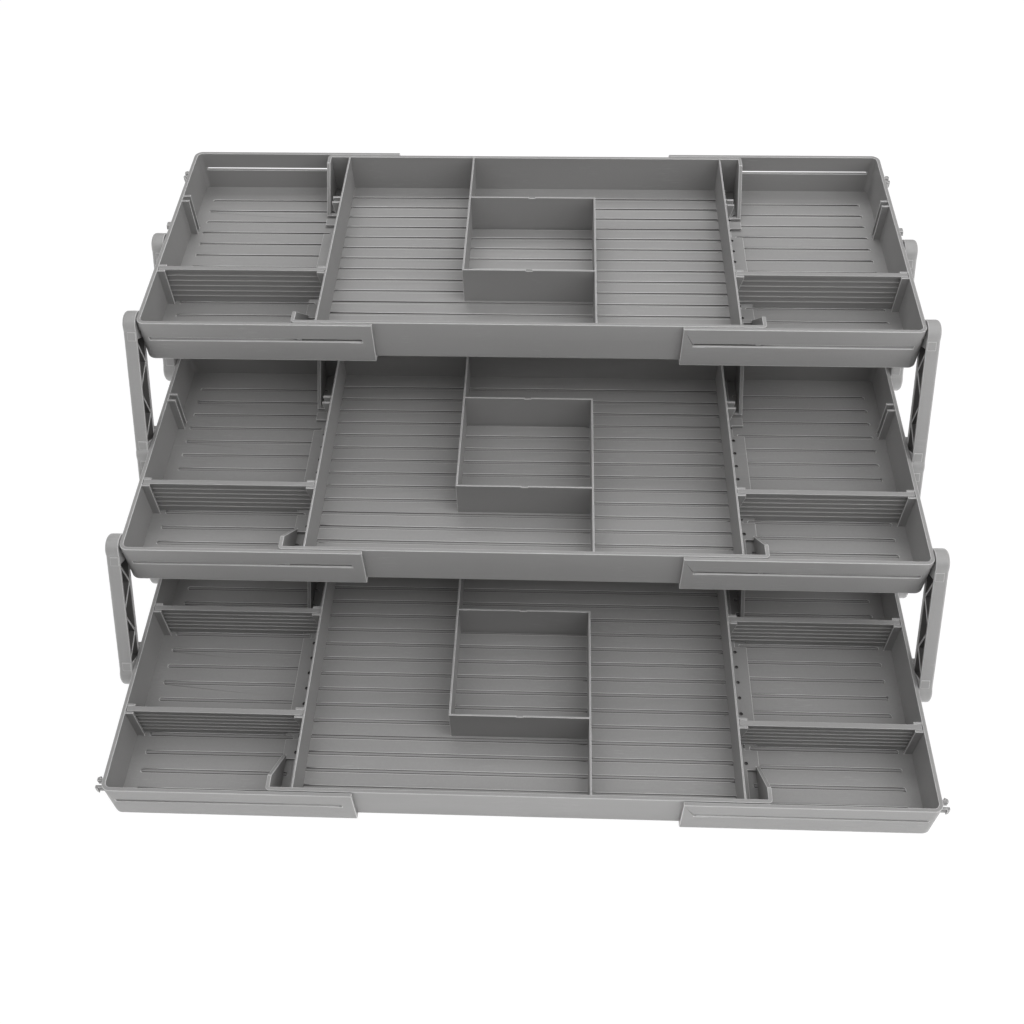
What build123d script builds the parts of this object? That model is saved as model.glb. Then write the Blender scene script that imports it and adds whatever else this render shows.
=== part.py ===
from build123d import *
import math
import os

os.makedirs("parts", exist_ok=True)

# One tray, in millimetres: a centre part with a wing drawn out of each side
TRAY_SPAN = 600.0  # over both wings, drawn out as they stand in use
TRAY_DEPTH = 226.0  # front to back over the wings
TRAY_HEIGHT = 37.0
WALL = 3.0
WING_FLOOR = 2.4
CENTRE_FLOOR = 2.2
WING_LENGTH = 182.0  # outer face to the free ends of the long walls
CORNER_RADIUS = 7.0
FOOT_CHAMFER = 0.8
SLIDE_GAP = 0.6  # all round between a wing and the centre it laps

# Centre part
CENTRE_WIDTH = 325.0  # over its side walls
SIDE_WALL = 1.5
EAR_LENGTH = 18.3  # end wall past the side wall
HOOK_RIM = 12.0  # turned-in end of an ear, along the rim
HOOK_FOOT = 44.0  # the same at the floor
HOOK_RADIUS = 3.0
FLANGE_STRIP = 8.5  # floor outside a side wall, full length
FLANGE_LEDGE = 17.8  # the wider part between the hooks
FLANGE_NOTCH = 12.0  # break in the ledge beside a divider
FLANGE_SLIT = 4.4  # break in the ledge before the rear hook

# Partitions of the centre part, measured from its middle
PARTITION = 1.5
BOX_HALF_WIDTH = 52.5
BOX_FRONT = 45.0
BOX_BACK = 50.0
GATE_NOTCH = 5.0
GATE_NOTCH_DEPTH = 0.8

# Floor grooves, running across the tray, and their outermost ones' distance from the long walls
GROOVE_WIDTH = 3.0
GROOVE_DEPTH = 1.0
CENTRE_GROOVES = 14
CENTRE_GROOVE_MARGIN = 15.4
WING_GROOVES = 13
WING_GROOVE_MARGIN_FRONT = 15.0
WING_GROOVE_MARGIN_REAR = 21.0
WING_GROOVE_IN = 57.0  # from the free ends of the wing
WING_GROOVE_OUT = 13.0  # from the outer face of the wing

# Guide slot in a wing's long walls, and the key on the centre that rides in it
SLOT_HEIGHT = 2.4
SLOT_LEVEL = 21.5
SLOT_INNER = 9.0  # from the free end of the wall
SLOT_OUTER = 7.5  # from the outer face of the wing
KEY_LENGTH = 3.6
KEY_CLEARANCE = 0.3
KEY_PROUD = 2.6
KEY_INSET = 5.0  # from the end of the ear to the middle of the key

# Dividers and the pairs of rails that hold their ends
DIVIDER_OFFSET = 46.0  # from the middle of the tray, to front and back
DIVIDER_EDGE = 4.2
DIVIDER_PLATE = 2.0
DIVIDER_BAND = 2.2
DIVIDER_END_BAR = 3.0
DIVIDER_RIB = 1.2
DIVIDER_RIB_PROUD = 0.8
DIVIDER_RIB_PITCH = 5.2
DIVIDER_TOP_GAP = 0.5
DIVIDER_CLEARANCE = 0.4
RAIL = 2.0
RAIL_PROUD = 6.0
RAIL_CLEARANCE = 0.3
PRONG_PROUD = 6.5
PRONG_TIP = 2.5
PRONG_DROP = 26.0
RIM_SET_BACK = 0.6  # tops of rails and prongs below the rim

# Folding arms and the snap pins they turn on
PIN_INSET_FRONT = 9.0  # front face of the tray to the first pin
PIN_INSET_REAR = 25.0  # rear face of the tray to the last pin
PIN_LEVEL = 28.0
PIN_RADIUS = 4.5
PIN_CLEARANCE = 0.08
PIN_WIDTH = 5.6  # over the flats of its two prongs
PIN_SLIT = 3.2  # between the prongs
BARB_REACH = 5.6
BARB_TIP_REACH = 4.1
BARB_LENGTH = 2.6
BARB_PLAY = 0.3
ARM_GAP = 0.4
ARM_THICKNESS = 10.5
ARM_WIDTH = 19.0
ARM_SKIN = 2.0
ARM_FLANGE = 2.2
EYE_RADIUS = 10.5
EYE_PLATE = 3.2
EYE_HOLLOW = 13.6  # six-sided, across its flats
TRUSS_RIB = 1.6
TRUSS_STEP = 20.0
TRUSS_SET_BACK = 1.0
STACK_GAP = 0.5  # between two trays when they are folded together
OPEN_ANGLE = 58.0  # of the arms above level, unfolded
STOP_PROUD = 3.0
STOP_LEVEL = 5.2  # underside of the stop above the pin
STOP_HEIGHT = 3.2
STOP_BACK = 21.5  # from the pin to the back of the stop
STOP_GAP = 0.3

# How far a joined piece is rooted in what carries it, and a cutter runs past what it cuts
ROOT = 0.5
PAST = 1.0

# Places that follow from the sizes
WING_FACE = TRAY_SPAN / 2
WING_END = WING_FACE - WING_LENGTH
WING_INSIDE = WING_FACE - WALL
SIDE_FACE = CENTRE_WIDTH / 2
EAR_END = SIDE_FACE + EAR_LENGTH
END_FACE = TRAY_DEPTH / 2 - WALL - SLIDE_GAP
CENTRE_BASE = WING_FLOOR + SLIDE_GAP
CENTRE_TOP_OF_FLOOR = CENTRE_BASE + CENTRE_FLOOR
PIN_PITCH = (TRAY_DEPTH - PIN_INSET_FRONT - PIN_INSET_REAR) / 2
ARM_LENGTH = math.hypot(PIN_PITCH, TRAY_HEIGHT + STACK_GAP)
TIER_RISE = ARM_LENGTH * math.sin(math.radians(OPEN_ANGLE))
TIER_STEP = PIN_PITCH + ARM_LENGTH * math.cos(math.radians(OPEN_ANGLE))
PIN_FRONT = PIN_INSET_FRONT - TRAY_DEPTH / 2
PIN_MIDDLE = PIN_FRONT + PIN_PITCH
PIN_REAR = PIN_MIDDLE + PIN_PITCH
TIERS = {"bottom": -1, "middle": 0, "top": 1}
BOTTOM = (Align.CENTER, Align.CENTER, Align.MIN)


def block(low, high):
    """A box between two corners."""
    size = [high[i] - low[i] for i in range(3)]
    middle = [(high[i] + low[i]) / 2 for i in range(3)]
    return Pos(*middle) * Box(*size)


def both_sides(shape):
    """The shape and its mirror image across the middle of the tray."""
    return shape + mirror(shape, about=Plane.YZ)


def front_and_back(shape):
    """The shape and its mirror image, front to back."""
    return shape + mirror(shape, about=Plane.XZ)


def side_profile(points, x, thickness):
    """An outline of (y, z) points, given a thickness along X from x outwards."""
    plane = Plane(origin=(x, 0, 0), x_dir=(0, 1, 0), z_dir=(1, 0, 0))
    return extrude(plane * make_face(Polyline(*points, close=True)), thickness)


def front_profile(points, y, thickness):
    """An outline of (x, z) points, given a thickness along Y, centred on y."""
    plane = Plane(origin=(0, y + thickness / 2, 0), x_dir=(1, 0, 0), z_dir=(0, -1, 0))
    return extrude(plane * make_face(Polyline(*points, close=True)), thickness)


def groove_places(first, last, count):
    """The y of each groove, evenly from the first to the last."""
    pitch = (last - first) / (count - 1)
    return [first + index * pitch for index in range(count)]


def floor_grooves(start, end, top, places):
    """Shallow grooves to cut into a floor."""
    half = GROOVE_WIDTH / 2
    low = top - GROOVE_DEPTH
    return [block((start, y - half, low), (end, y + half, top + PAST)) for y in places]


def wing_outline(inner, outer, depth, radius):
    """A rectangle with its two outer corners rounded."""
    face = Pos((inner + outer) / 2, 0) * Rectangle(outer - inner, depth)
    return fillet(face.vertices().group_by(Axis.X)[-1], radius)


def wing_shell():
    """Floor, outer wall and two long walls of a wing, open at its inner end."""
    shell = extrude(wing_outline(WING_END, WING_FACE, TRAY_DEPTH, CORNER_RADIUS), TRAY_HEIGHT)
    foot = shell.faces().sort_by(Axis.Z)[0].edges()
    outer_foot = foot.filter_by(lambda edge: edge.center().X > WING_END + PAST)
    shell = chamfer(outer_foot, FOOT_CHAMFER)
    inside = wing_outline(WING_END - PAST, WING_INSIDE, TRAY_DEPTH - 2 * WALL, CORNER_RADIUS - WALL)
    return shell - Pos(0, 0, WING_FLOOR) * extrude(inside, TRAY_HEIGHT)


def guide_slots():
    """The long slots that a wing slides on, cut through both long walls."""
    slot = block(
        (WING_END + SLOT_INNER, TRAY_DEPTH / 2 - WALL - PAST, SLOT_LEVEL - SLOT_HEIGHT / 2),
        (WING_FACE - SLOT_OUTER, TRAY_DEPTH / 2 + PAST, SLOT_LEVEL + SLOT_HEIGHT / 2),
    )
    return front_and_back(slot)


def divider_rails():
    """Two pairs of upright rails inside the outer wall of a wing."""
    near = DIVIDER_OFFSET - DIVIDER_EDGE / 2 - RAIL_CLEARANCE
    far = DIVIDER_OFFSET + DIVIDER_EDGE / 2 + RAIL_CLEARANCE
    low = WING_FLOOR - ROOT
    top = TRAY_HEIGHT - RIM_SET_BACK
    face = WING_INSIDE - RAIL_PROUD
    rails = block((face, near - RAIL, low), (WING_INSIDE + ROOT, near, top))
    rails += block((face, far, low), (WING_INSIDE + ROOT, far + RAIL, top))
    return front_and_back(rails)


def snap_pin():
    """A pin of two prongs with round lands and barbed tips, standing up from z = 0."""
    shaft_end = ARM_GAP + EYE_PLATE + BARB_PLAY
    tip = shaft_end + BARB_LENGTH
    land = Pos(0, 0, -ROOT) * Cylinder(PIN_RADIUS, shaft_end + ROOT, align=BOTTOM)
    outline = [
        (-BARB_REACH, shaft_end),
        (BARB_REACH, shaft_end),
        (BARB_TIP_REACH, tip),
        (-BARB_TIP_REACH, tip),
    ]
    barbs = front_profile(outline, 0, PIN_WIDTH)
    prong = block((PIN_SLIT / 2, -PIN_WIDTH / 2, -ROOT), (BARB_REACH, PIN_WIDTH / 2, tip))
    return (land + barbs) & both_sides(prong)


def pin_plane(y):
    """A plane on the outer face of a wing, at the pin that stands at y."""
    return Plane(origin=(WING_FACE, y, PIN_LEVEL), x_dir=(0, 1, 0), z_dir=(1, 0, 0))


def arm_stop():
    """The nub behind the middle pin that an unfolded arm leans on."""
    angle = math.radians(OPEN_ANGLE)
    reach = (ARM_WIDTH / 2 + STOP_GAP) / math.sin(angle)
    low = STOP_LEVEL
    high = STOP_LEVEL + STOP_HEIGHT
    outline = [
        (PIN_MIDDLE + reach + low / math.tan(angle), PIN_LEVEL + low),
        (PIN_MIDDLE + STOP_BACK, PIN_LEVEL + low),
        (PIN_MIDDLE + STOP_BACK, PIN_LEVEL + high),
        (PIN_MIDDLE + reach + high / math.tan(angle), PIN_LEVEL + high),
    ]
    return side_profile(outline, WING_FACE - ROOT, STOP_PROUD + ROOT)


def wing():
    """A right-hand wing, standing at z = 0 with the tray's middle at the origin."""
    body = wing_shell() - guide_slots()
    wall_line = TRAY_DEPTH / 2 - WALL
    places = groove_places(
        WING_GROOVE_MARGIN_FRONT - wall_line, wall_line - WING_GROOVE_MARGIN_REAR, WING_GROOVES
    )
    body -= floor_grooves(WING_END + WING_GROOVE_IN, WING_FACE - WING_GROOVE_OUT, WING_FLOOR, places)
    body += divider_rails()
    body += [pin_plane(y) * snap_pin() for y in (PIN_FRONT, PIN_MIDDLE, PIN_REAR)]
    return body + arm_stop()


def hooked_end_wall():
    """The front wall of the centre, with its ears turned in and sloped down to the floor."""
    outline = Pos(0, HOOK_FOOT / 2 - END_FACE) * Rectangle(2 * EAR_END, HOOK_FOOT)
    outline = fillet(outline.vertices().group_by(Axis.Y)[0], HOOK_RADIUS)
    inner = Pos(0, HOOK_FOOT / 2 + WALL - END_FACE) * Rectangle(2 * (EAR_END - WALL), HOOK_FOOT)
    wall = Pos(0, 0, CENTRE_BASE) * extrude(outline - inner, TRAY_HEIGHT - CENTRE_BASE)
    slope = [
        (HOOK_RIM - END_FACE, TRAY_HEIGHT + PAST),
        (HOOK_RIM - END_FACE, TRAY_HEIGHT),
        (HOOK_FOOT - END_FACE, CENTRE_TOP_OF_FLOOR),
        (HOOK_FOOT - END_FACE + PAST, CENTRE_TOP_OF_FLOOR),
        (HOOK_FOOT - END_FACE + PAST, TRAY_HEIGHT + PAST),
    ]
    return wall - side_profile(slope, -EAR_END - PAST, 2 * (EAR_END + PAST))


def guide_key():
    """The key on the front face of an ear that rides in the wing's slot."""
    middle = EAR_END - KEY_INSET
    half_height = SLOT_HEIGHT / 2 - KEY_CLEARANCE
    return block(
        (middle - KEY_LENGTH / 2, -END_FACE - KEY_PROUD, SLOT_LEVEL - half_height),
        (middle + KEY_LENGTH / 2, -END_FACE + ROOT, SLOT_LEVEL + half_height),
    )


def centre_floor():
    """The floor, with a strip outside each side wall and a ledge between the hooks."""
    base = CENTRE_BASE
    top = CENTRE_TOP_OF_FLOOR
    strip = SIDE_FACE + FLANGE_STRIP
    ledge = SIDE_FACE + FLANGE_LEDGE
    ledge_end = END_FACE - HOOK_FOOT + WALL
    floor = block((-strip, -END_FACE + ROOT, base), (strip, END_FACE - ROOT, top))
    floor += block((-ledge, -ledge_end, base), (ledge, ledge_end, top))
    outermost = END_FACE - WALL - CENTRE_GROOVE_MARGIN
    places = groove_places(-outermost, outermost, CENTRE_GROOVES)
    floor -= floor_grooves(-SIDE_FACE, SIDE_FACE, top, places)
    half = FLANGE_NOTCH / 2
    slit_end = END_FACE - HOOK_FOOT
    low = base - PAST
    high = top + PAST
    notch = block((strip, DIVIDER_OFFSET - half, low), (ledge + PAST, DIVIDER_OFFSET + half, high))
    slit = block((strip + PAST, slit_end - FLANGE_SLIT, low), (ledge + PAST, slit_end, high))
    breaks = front_and_back(notch) + slit
    return floor - both_sides(breaks)


def divider_prongs():
    """Two pairs of tapered prongs outside a side wall of the centre."""
    top = TRAY_HEIGHT - RIM_SET_BACK
    near = DIVIDER_OFFSET - DIVIDER_EDGE / 2 - RAIL_CLEARANCE - RAIL / 2
    far = DIVIDER_OFFSET + DIVIDER_EDGE / 2 + RAIL_CLEARANCE + RAIL / 2
    outline = [
        (SIDE_FACE - ROOT, top),
        (SIDE_FACE + PRONG_PROUD, top),
        (SIDE_FACE + PRONG_PROUD, top - PRONG_TIP),
        (SIDE_FACE + 0.8, top - PRONG_DROP),
        (SIDE_FACE - ROOT, top - PRONG_DROP),
    ]
    prongs = front_profile(outline, near, RAIL) + front_profile(outline, far, RAIL)
    return front_and_back(prongs)


def upright(start, end, x):
    """A partition that runs front to back at x."""
    half = PARTITION / 2
    return block((x - half, start, CENTRE_BASE), (x + half, end, TRAY_HEIGHT))


def crossing(start, end, y):
    """A partition that runs from side to side at y, with a notch where it was gated."""
    half = PARTITION / 2
    wall = block((start, y - half, CENTRE_BASE), (end, y + half, TRAY_HEIGHT))
    middle = (start + end) / 2
    notch_floor = TRAY_HEIGHT - GATE_NOTCH_DEPTH
    return wall - block(
        (middle - GATE_NOTCH / 2, y - half - PAST, notch_floor),
        (middle + GATE_NOTCH / 2, y + half + PAST, TRAY_HEIGHT + PAST),
    )


def partitions():
    """Four walls set like a pinwheel: a box, with a bay to its left and one to its right."""
    wall_line = END_FACE - WALL / 2
    walls = upright(-BOX_FRONT - PARTITION / 2, wall_line, -BOX_HALF_WIDTH)
    walls += upright(-wall_line, BOX_BACK + PARTITION / 2, BOX_HALF_WIDTH)
    walls += crossing(-BOX_HALF_WIDTH, BOX_HALF_WIDTH, -BOX_FRONT)
    return walls + crossing(-BOX_HALF_WIDTH, BOX_HALF_WIDTH, BOX_BACK)


def side_wall():
    """The right side wall of the centre."""
    return block(
        (SIDE_FACE - SIDE_WALL, -END_FACE + ROOT, CENTRE_BASE),
        (SIDE_FACE, END_FACE - ROOT, TRAY_HEIGHT),
    )


def centre():
    """The middle part of a tray, above the floors of its two wings."""
    body = centre_floor() + front_and_back(hooked_end_wall())
    body += both_sides(side_wall() + divider_prongs() + front_and_back(guide_key()))
    return body + partitions()


def divider():
    """A removable divider across a right-hand wing, standing at y = 0."""
    start = SIDE_FACE + DIVIDER_CLEARANCE
    end = WING_INSIDE - DIVIDER_CLEARANCE
    top = TRAY_HEIGHT - DIVIDER_TOP_GAP
    low = WING_FLOOR + DIVIDER_CLEARANCE
    over_ledge = CENTRE_TOP_OF_FLOOR + DIVIDER_CLEARANCE
    step = EAR_END
    outline = [(start, over_ledge), (step, over_ledge), (step, low), (end, low), (end, top), (start, top)]
    body = front_profile(outline, 0, DIVIDER_PLATE)
    half = DIVIDER_EDGE / 2
    body += block((start, -half, top - DIVIDER_BAND), (end, half, top))
    body += block((start, -half, over_ledge), (start + DIVIDER_END_BAR, half, top))
    body += block((end - DIVIDER_END_BAR, -half, low), (end, half, top))
    proud = DIVIDER_PLATE / 2 + DIVIDER_RIB_PROUD
    count = int((top - DIVIDER_BAND - over_ledge) / DIVIDER_RIB_PITCH)
    for step_down in range(1, count + 1):
        rib_top = top - DIVIDER_BAND - step_down * DIVIDER_RIB_PITCH + DIVIDER_RIB
        body += block((start, -proud, rib_top - DIVIDER_RIB), (end, proud, rib_top))
    return body


def truss(start, end):
    """Slanted ribs between the flanges of an arm, from one eye to the next."""
    half = ARM_WIDTH / 2 - ARM_FLANGE / 2
    count = max(2, round((end - start) / TRUSS_STEP))
    pitch = (end - start) / count
    height = ARM_THICKNESS - ARM_SKIN / 2 - TRUSS_SET_BACK
    ribs = []
    for index in range(count):
        side = 1 if index % 2 else -1
        length = math.hypot(pitch, 2 * half)
        slant = math.degrees(math.atan2(2 * half * side, pitch))
        rib = Rot(0, 0, slant) * Box(length, TRUSS_RIB, height, align=BOTTOM)
        ribs.append(Pos(start + (index + 0.5) * pitch, 0, TRUSS_SET_BACK) * rib)
    return ribs


def arm(eyes):
    """An arm along +X with an eye at each x in eyes; its open side is down, its skin on top."""
    last = eyes[-1]
    outline = Pos(last / 2, 0) * SlotCenterToCenter(last, ARM_WIDTH)
    outline += [Pos(x, 0) * Circle(EYE_RADIUS) for x in eyes]
    body = extrude(outline, ARM_THICKNESS)
    for near, far in zip(eyes, eyes[1:]):
        room = Rectangle(far - near - 2 * EYE_RADIUS, ARM_WIDTH - 2 * ARM_FLANGE)
        room = Pos((near + far) / 2, 0) * room
        body -= extrude(room, ARM_THICKNESS - ARM_SKIN)
        body += truss(near + EYE_RADIUS - ROOT, far - EYE_RADIUS + ROOT)
    for x in eyes:
        body -= Pos(x, 0, 0) * Cylinder(PIN_RADIUS + PIN_CLEARANCE, EYE_PLATE + PAST, align=BOTTOM)
        depth = ARM_THICKNESS - ARM_SKIN - EYE_PLATE
        hollow = RegularPolygon(EYE_HOLLOW / 2, side_count=6, major_radius=False)
        body -= Pos(x, 0, EYE_PLATE) * extrude(hollow, depth)
    return body


def arm_place(tier, y):
    """Where an arm goes whose lower pin is at y on the right of the named tier."""
    angle = math.radians(OPEN_ANGLE)
    level = TIERS[tier] + 1
    origin = (WING_FACE + ARM_GAP, y + TIERS[tier] * TIER_STEP, PIN_LEVEL + level * TIER_RISE)
    return Plane(origin=origin, x_dir=(0, math.cos(angle), math.sin(angle)), z_dir=(1, 0, 0))


def tier_place(tier):
    """Where the named tray stands when the trays are unfolded like a stair."""
    return Pos(0, TIERS[tier] * TIER_STEP, (TIERS[tier] + 1) * TIER_RISE)


def write(shape, name):
    """Write one piece."""
    export_step(shape, f"parts/{name}.step")


def write_pair(shape, name):
    """Write a right-hand piece and its left-hand twin."""
    write(shape, f"right_{name}")
    write(mirror(shape, about=Plane.YZ), f"left_{name}")


def write_trays():
    """Write the centre and the two wings of each tray."""
    centre_part = centre()
    wing_part = wing()
    for tier in TIERS:
        write(tier_place(tier) * centre_part, f"{tier}_centre_tray")
        write_pair(tier_place(tier) * wing_part, f"{tier}_wing")


def write_dividers():
    """Write the dividers: one a side in the upper trays, two a side in the bottom one."""
    piece = divider()
    for tier in TIERS:
        write_pair(tier_place(tier) * Pos(0, -DIVIDER_OFFSET, 0) * piece, f"{tier}_front_divider")
    write_pair(tier_place("bottom") * Pos(0, DIVIDER_OFFSET, 0) * piece, "bottom_rear_divider")


def write_arms():
    """Write the long arms, which join all three trays, and the short ones."""
    short = arm([0, ARM_LENGTH])
    write_pair(arm_place("bottom", PIN_REAR) * arm([0, ARM_LENGTH, 2 * ARM_LENGTH]), "long_arm")
    write_pair(arm_place("bottom", PIN_MIDDLE) * short, "lower_short_arm")
    write_pair(arm_place("middle", PIN_REAR) * short, "upper_short_arm")


write_trays()
write_dividers()
write_arms()
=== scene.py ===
"""A tiered plastic organizer, unfolded like a stair, dressed for a studio picture."""

import logging
import math
from collections.abc import Callable, Iterator
from dataclasses import dataclass
from enum import Enum

import bpy
from mathutils import Matrix, Vector


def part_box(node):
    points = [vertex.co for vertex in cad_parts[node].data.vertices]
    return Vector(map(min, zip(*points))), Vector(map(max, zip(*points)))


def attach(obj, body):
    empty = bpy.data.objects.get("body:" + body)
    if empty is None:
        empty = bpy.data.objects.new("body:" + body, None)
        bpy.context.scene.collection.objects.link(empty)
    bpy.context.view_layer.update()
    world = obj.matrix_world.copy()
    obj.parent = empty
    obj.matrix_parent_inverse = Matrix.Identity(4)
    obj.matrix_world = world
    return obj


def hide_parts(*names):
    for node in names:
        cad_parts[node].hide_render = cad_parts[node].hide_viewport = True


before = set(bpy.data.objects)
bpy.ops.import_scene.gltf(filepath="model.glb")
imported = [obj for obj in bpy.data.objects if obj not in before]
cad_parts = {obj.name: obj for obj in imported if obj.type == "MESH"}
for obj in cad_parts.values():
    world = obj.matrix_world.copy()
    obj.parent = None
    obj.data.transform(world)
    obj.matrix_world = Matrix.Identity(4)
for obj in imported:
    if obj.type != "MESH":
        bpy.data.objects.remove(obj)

MM = 0.001
WHITE = (1.0, 1.0, 1.0, 1.0)
SIDEWAYS = Vector((1.0, 0.0, 0.0))
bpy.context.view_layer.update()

# A face looks up when the z of its normal is over the first of these, and stands upright when
# that z is nearer to zero than the second.
LOOKS_UP = 0.9
STANDS_UPRIGHT = 0.02

# Where a Mix node has its colour sockets, whose names its other sockets share.
MIX_FIRST, MIX_SECOND, MIX_RESULT = 6, 7, 2

Sockets = dict[str, bpy.types.NodeSocket]

log = logging.getLogger("organizer")


class Tier(Enum):
    """The three trays, from the lowest and foremost to the highest and rearmost."""

    BOTTOM = "bottom"
    MIDDLE = "middle"
    TOP = "top"


class Side(Enum):
    """The two sides of the organizer, as one stands in front of it."""

    LEFT = "left"
    RIGHT = "right"


class ArmKind(Enum):
    """The folding arms of one side."""

    LONG = "long_arm"
    LOWER_SHORT = "lower_short_arm"
    UPPER_SHORT = "upper_short_arm"

    @property
    def eye_count(self) -> int:
        """How many pins the arm turns on."""
        return 3 if self is ArmKind.LONG else 2


class FaceFinish(Enum):
    """The material slots that every piece has, and the number that leaves the choice open."""

    AS_BESIDE = -1
    BODY = 0
    # This slot is a painted highlight on rounded edges.
    EDGE = 1
    # This slot is painted shade in hollows.
    PAINTED_SHADE = 2


class NodeSheet:
    """Adds and joins the nodes of one shader tree."""

    def __init__(self, tree: bpy.types.NodeTree) -> None:
        """Starts on an empty sheet.

        Args:
            tree: The tree of a material, a world or a node group.
        """
        self.tree = tree
        self.tree.nodes.clear()

    def add(self, kind: str, **settings: object) -> bpy.types.Node:
        """Adds one node.

        Args:
            kind: Its type name without the leading ShaderNode.
            **settings: Its properties, and values of its inputs under their names in lower case.

        Returns:
            The new node.
        """
        prefix = "" if kind.startswith("NodeGroup") else "ShaderNode"
        node = self.tree.nodes.new(prefix + kind)
        sockets = {socket.name.lower().replace(" ", "_"): socket
                   for socket in reversed(node.inputs)}
        for name, value in settings.items():
            if name in sockets:
                sockets[name].default_value = value
            else:
                setattr(node, name, value)
        return node

    def join(self, source: bpy.types.NodeSocket, target: bpy.types.NodeSocket) -> None:
        """Links one output to one input."""
        self.tree.links.new(source, target)

    def feed(self, source: object, target: bpy.types.NodeSocket) -> None:
        """Links an output to an input, or sets the input's value.

        Args:
            source: A socket or a value.
            target: The input.
        """
        if isinstance(source, bpy.types.NodeSocket):
            self.join(source, target)
        else:
            target.default_value = source

    def maths(self, operation: str, first: object, second: object = 0.0) -> bpy.types.NodeSocket:
        """Adds a Math node.

        Args:
            operation: Its operation.
            first: A socket or a number.
            second: A socket or a number.

        Returns:
            Its output.
        """
        node = self.add("Math", operation=operation)
        self.feed(first, node.inputs[0])
        self.feed(second, node.inputs[1])
        return node.outputs[0]

    def spread(self, value: bpy.types.NodeSocket, low: float, high: float, to_low: float = 0.0,
               to_high: float = 1.0) -> bpy.types.NodeSocket:
        """Stretches one range of values over another and clamps it.

        Args:
            value: What is stretched.
            low: The value that becomes to_low.
            high: The value that becomes to_high.
            to_low: One end of the new range.
            to_high: The other end.

        Returns:
            The stretched value.
        """
        node = self.add("MapRange", clamp=True)
        self.join(value, node.inputs["Value"])
        limits = (low, high, to_low, to_high)
        for name, limit in zip(("From Min", "From Max", "To Min", "To Max"), limits):
            node.inputs[name].default_value = limit
        return node.outputs["Result"]

    def mix_colours(self, share: bpy.types.NodeSocket, first: object,
                    second: object) -> bpy.types.NodeSocket:
        """Lays a second colour over a first.

        Args:
            share: How much of the second shows, from 0 to 1.
            first: A socket or a colour.
            second: A socket or a colour.

        Returns:
            The mixed colour.
        """
        node = self.add("Mix", data_type="RGBA")
        self.join(share, node.inputs["Factor"])
        self.feed(first, node.inputs[MIX_FIRST])
        self.feed(second, node.inputs[MIX_SECOND])
        return node.outputs[MIX_RESULT]

    def finish(self, kind: str, surface: bpy.types.NodeSocket) -> None:
        """Joins a shader to the sheet's output.

        Args:
            kind: The output's type name without the leading ShaderNode.
            surface: The shader.
        """
        self.join(surface, self.add(kind).inputs["Surface"])


class SharedEffect(Enum):
    """The surface effects that more than one finish uses, each a node group."""

    GRAIN = "moulded_grain"
    FLOW = "flow_tone"
    SCUFF = "handling_scuffs"
    DUST = "settled_dust"


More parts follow.
